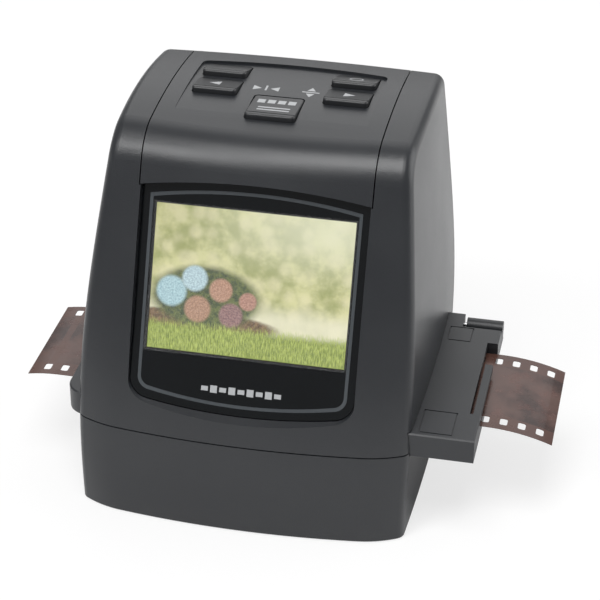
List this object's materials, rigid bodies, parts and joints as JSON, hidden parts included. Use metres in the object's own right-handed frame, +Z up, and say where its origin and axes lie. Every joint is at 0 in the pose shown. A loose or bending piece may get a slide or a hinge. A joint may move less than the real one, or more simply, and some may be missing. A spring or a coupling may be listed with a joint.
{
  "type": "film negative scanner",
  "caption": "Desktop scanner for film strips with a tilted colour screen, push keys on the rounded top and a hinged film tray that slides through the casing.",
  "frame": {"origin": "on the flat underside, at the middle of the casing's footprint between its front and back corners; the feet stand 0.4 mm further down, on the table plane", "axes": "+X along the tray, to the right seen from the front; +Y to the back; +Z up"},
  "size_m": [0.1412, 0.0858, 0.1014],
  "materials": {
    "casing": "dark charcoal moulded plastic, fine texture",
    "cover": "dark charcoal moulded plastic, fine texture",
    "bezel": "near-black gloss panel",
    "inlay": "grey-blue metallic line",
    "window": "clear window",
    "display": "lit colour display",
    "display_frame": "pressed steel frame",
    "keys": "dark moulded keys with pale marks",
    "tray": "dark moulded plastic, satin",
    "film": "brown translucent negative",
    "steel": "bright steel",
    "board": "green circuit board",
    "chips": "black epoxy",
    "leds": "white lamps",
    "light_box": "white reflective plastic",
    "diffuser": "opal panel",
    "inner_black": "black moulded plastic",
    "lens_glass": "coated lens glass",
    "sensor": "sensor chip",
    "rubber": "black rubber",
    "ribbon": "flat cable"
  },
  "bodies": {
    "casing": {"base_pan": "casing", "main_housing": "casing", "top_cover": "cover", "screen_bezel": "bezel", "bezel_inlay": "inlay", "screen_window": "window", "lcd_panel": "display", "lcd_frame": "display_frame", "key_board": "board", "tact_switches": "chips", "led_board": "board", "leds": "leds", "light_box": "light_box", "diffuser_panel": "diffuser", "tray_guide": "inner_black", "detent_spring": "steel", "optics_tower": "inner_black", "lens_barrel": "inner_black", "lens_elements": "lens_glass", "sensor_board": "board", "image_sensor": "sensor", "main_board": "board", "main_chips": "chips", "card_socket": "steel", "usb_port": "steel", "video_jack": "chips", "lcd_ribbon": "ribbon", "sensor_ribbon": "ribbon", "key_ribbon": "ribbon", "rubber_feet": "rubber", "casing_screws": "steel", "guide_screws": "steel", "led_board_screws": "steel", "tower_screws": "steel", "main_board_screws": "steel", "key_board_screws": "steel"},
    "tray": {"tray_base": "tray", "tray_lid": "tray", "tray_hinge_pins": "steel"},
    "film": {"film_strip": "film"},
    "power_button": {"power_button": "keys"},
    "left_button": {"left_button": "keys"},
    "ok_button": {"ok_button": "keys"},
    "right_button": {"right_button": "keys"},
    "scan_button": {"scan_button": "keys"}
  },
  "joints": [
    {"name": "tray_slide", "type": "slide", "parent": "casing", "child": "tray", "axis": [1, 0, 0], "range_m": [0, 0.06]},
    {"name": "film_feed", "type": "slide", "parent": "tray", "child": "film", "axis": [1, 0, 0], "range_m": [0, 0.035]},
    {"name": "power_press", "type": "slide", "parent": "casing", "child": "power_button", "axis": [0, 0, -1], "range_m": [0, 0.0008], "stiffness_N_per_m": 300, "springref_m": -0.0004},
    {"name": "left_press", "type": "slide", "parent": "casing", "child": "left_button", "axis": [0, 0, -1], "range_m": [0, 0.0008], "stiffness_N_per_m": 300, "springref_m": -0.0004},
    {"name": "ok_press", "type": "slide", "parent": "casing", "child": "ok_button", "axis": [0, 0, -1], "range_m": [0, 0.0008], "stiffness_N_per_m": 300, "springref_m": -0.0004},
    {"name": "right_press", "type": "slide", "parent": "casing", "child": "right_button", "axis": [0, 0, -1], "range_m": [0, 0.0008], "stiffness_N_per_m": 300, "springref_m": -0.0004},
    {"name": "scan_press", "type": "slide", "parent": "casing", "child": "scan_button", "axis": [0, 0, -1], "range_m": [0, 0.0008], "stiffness_N_per_m": 300, "springref_m": -0.0004}
  ]
}
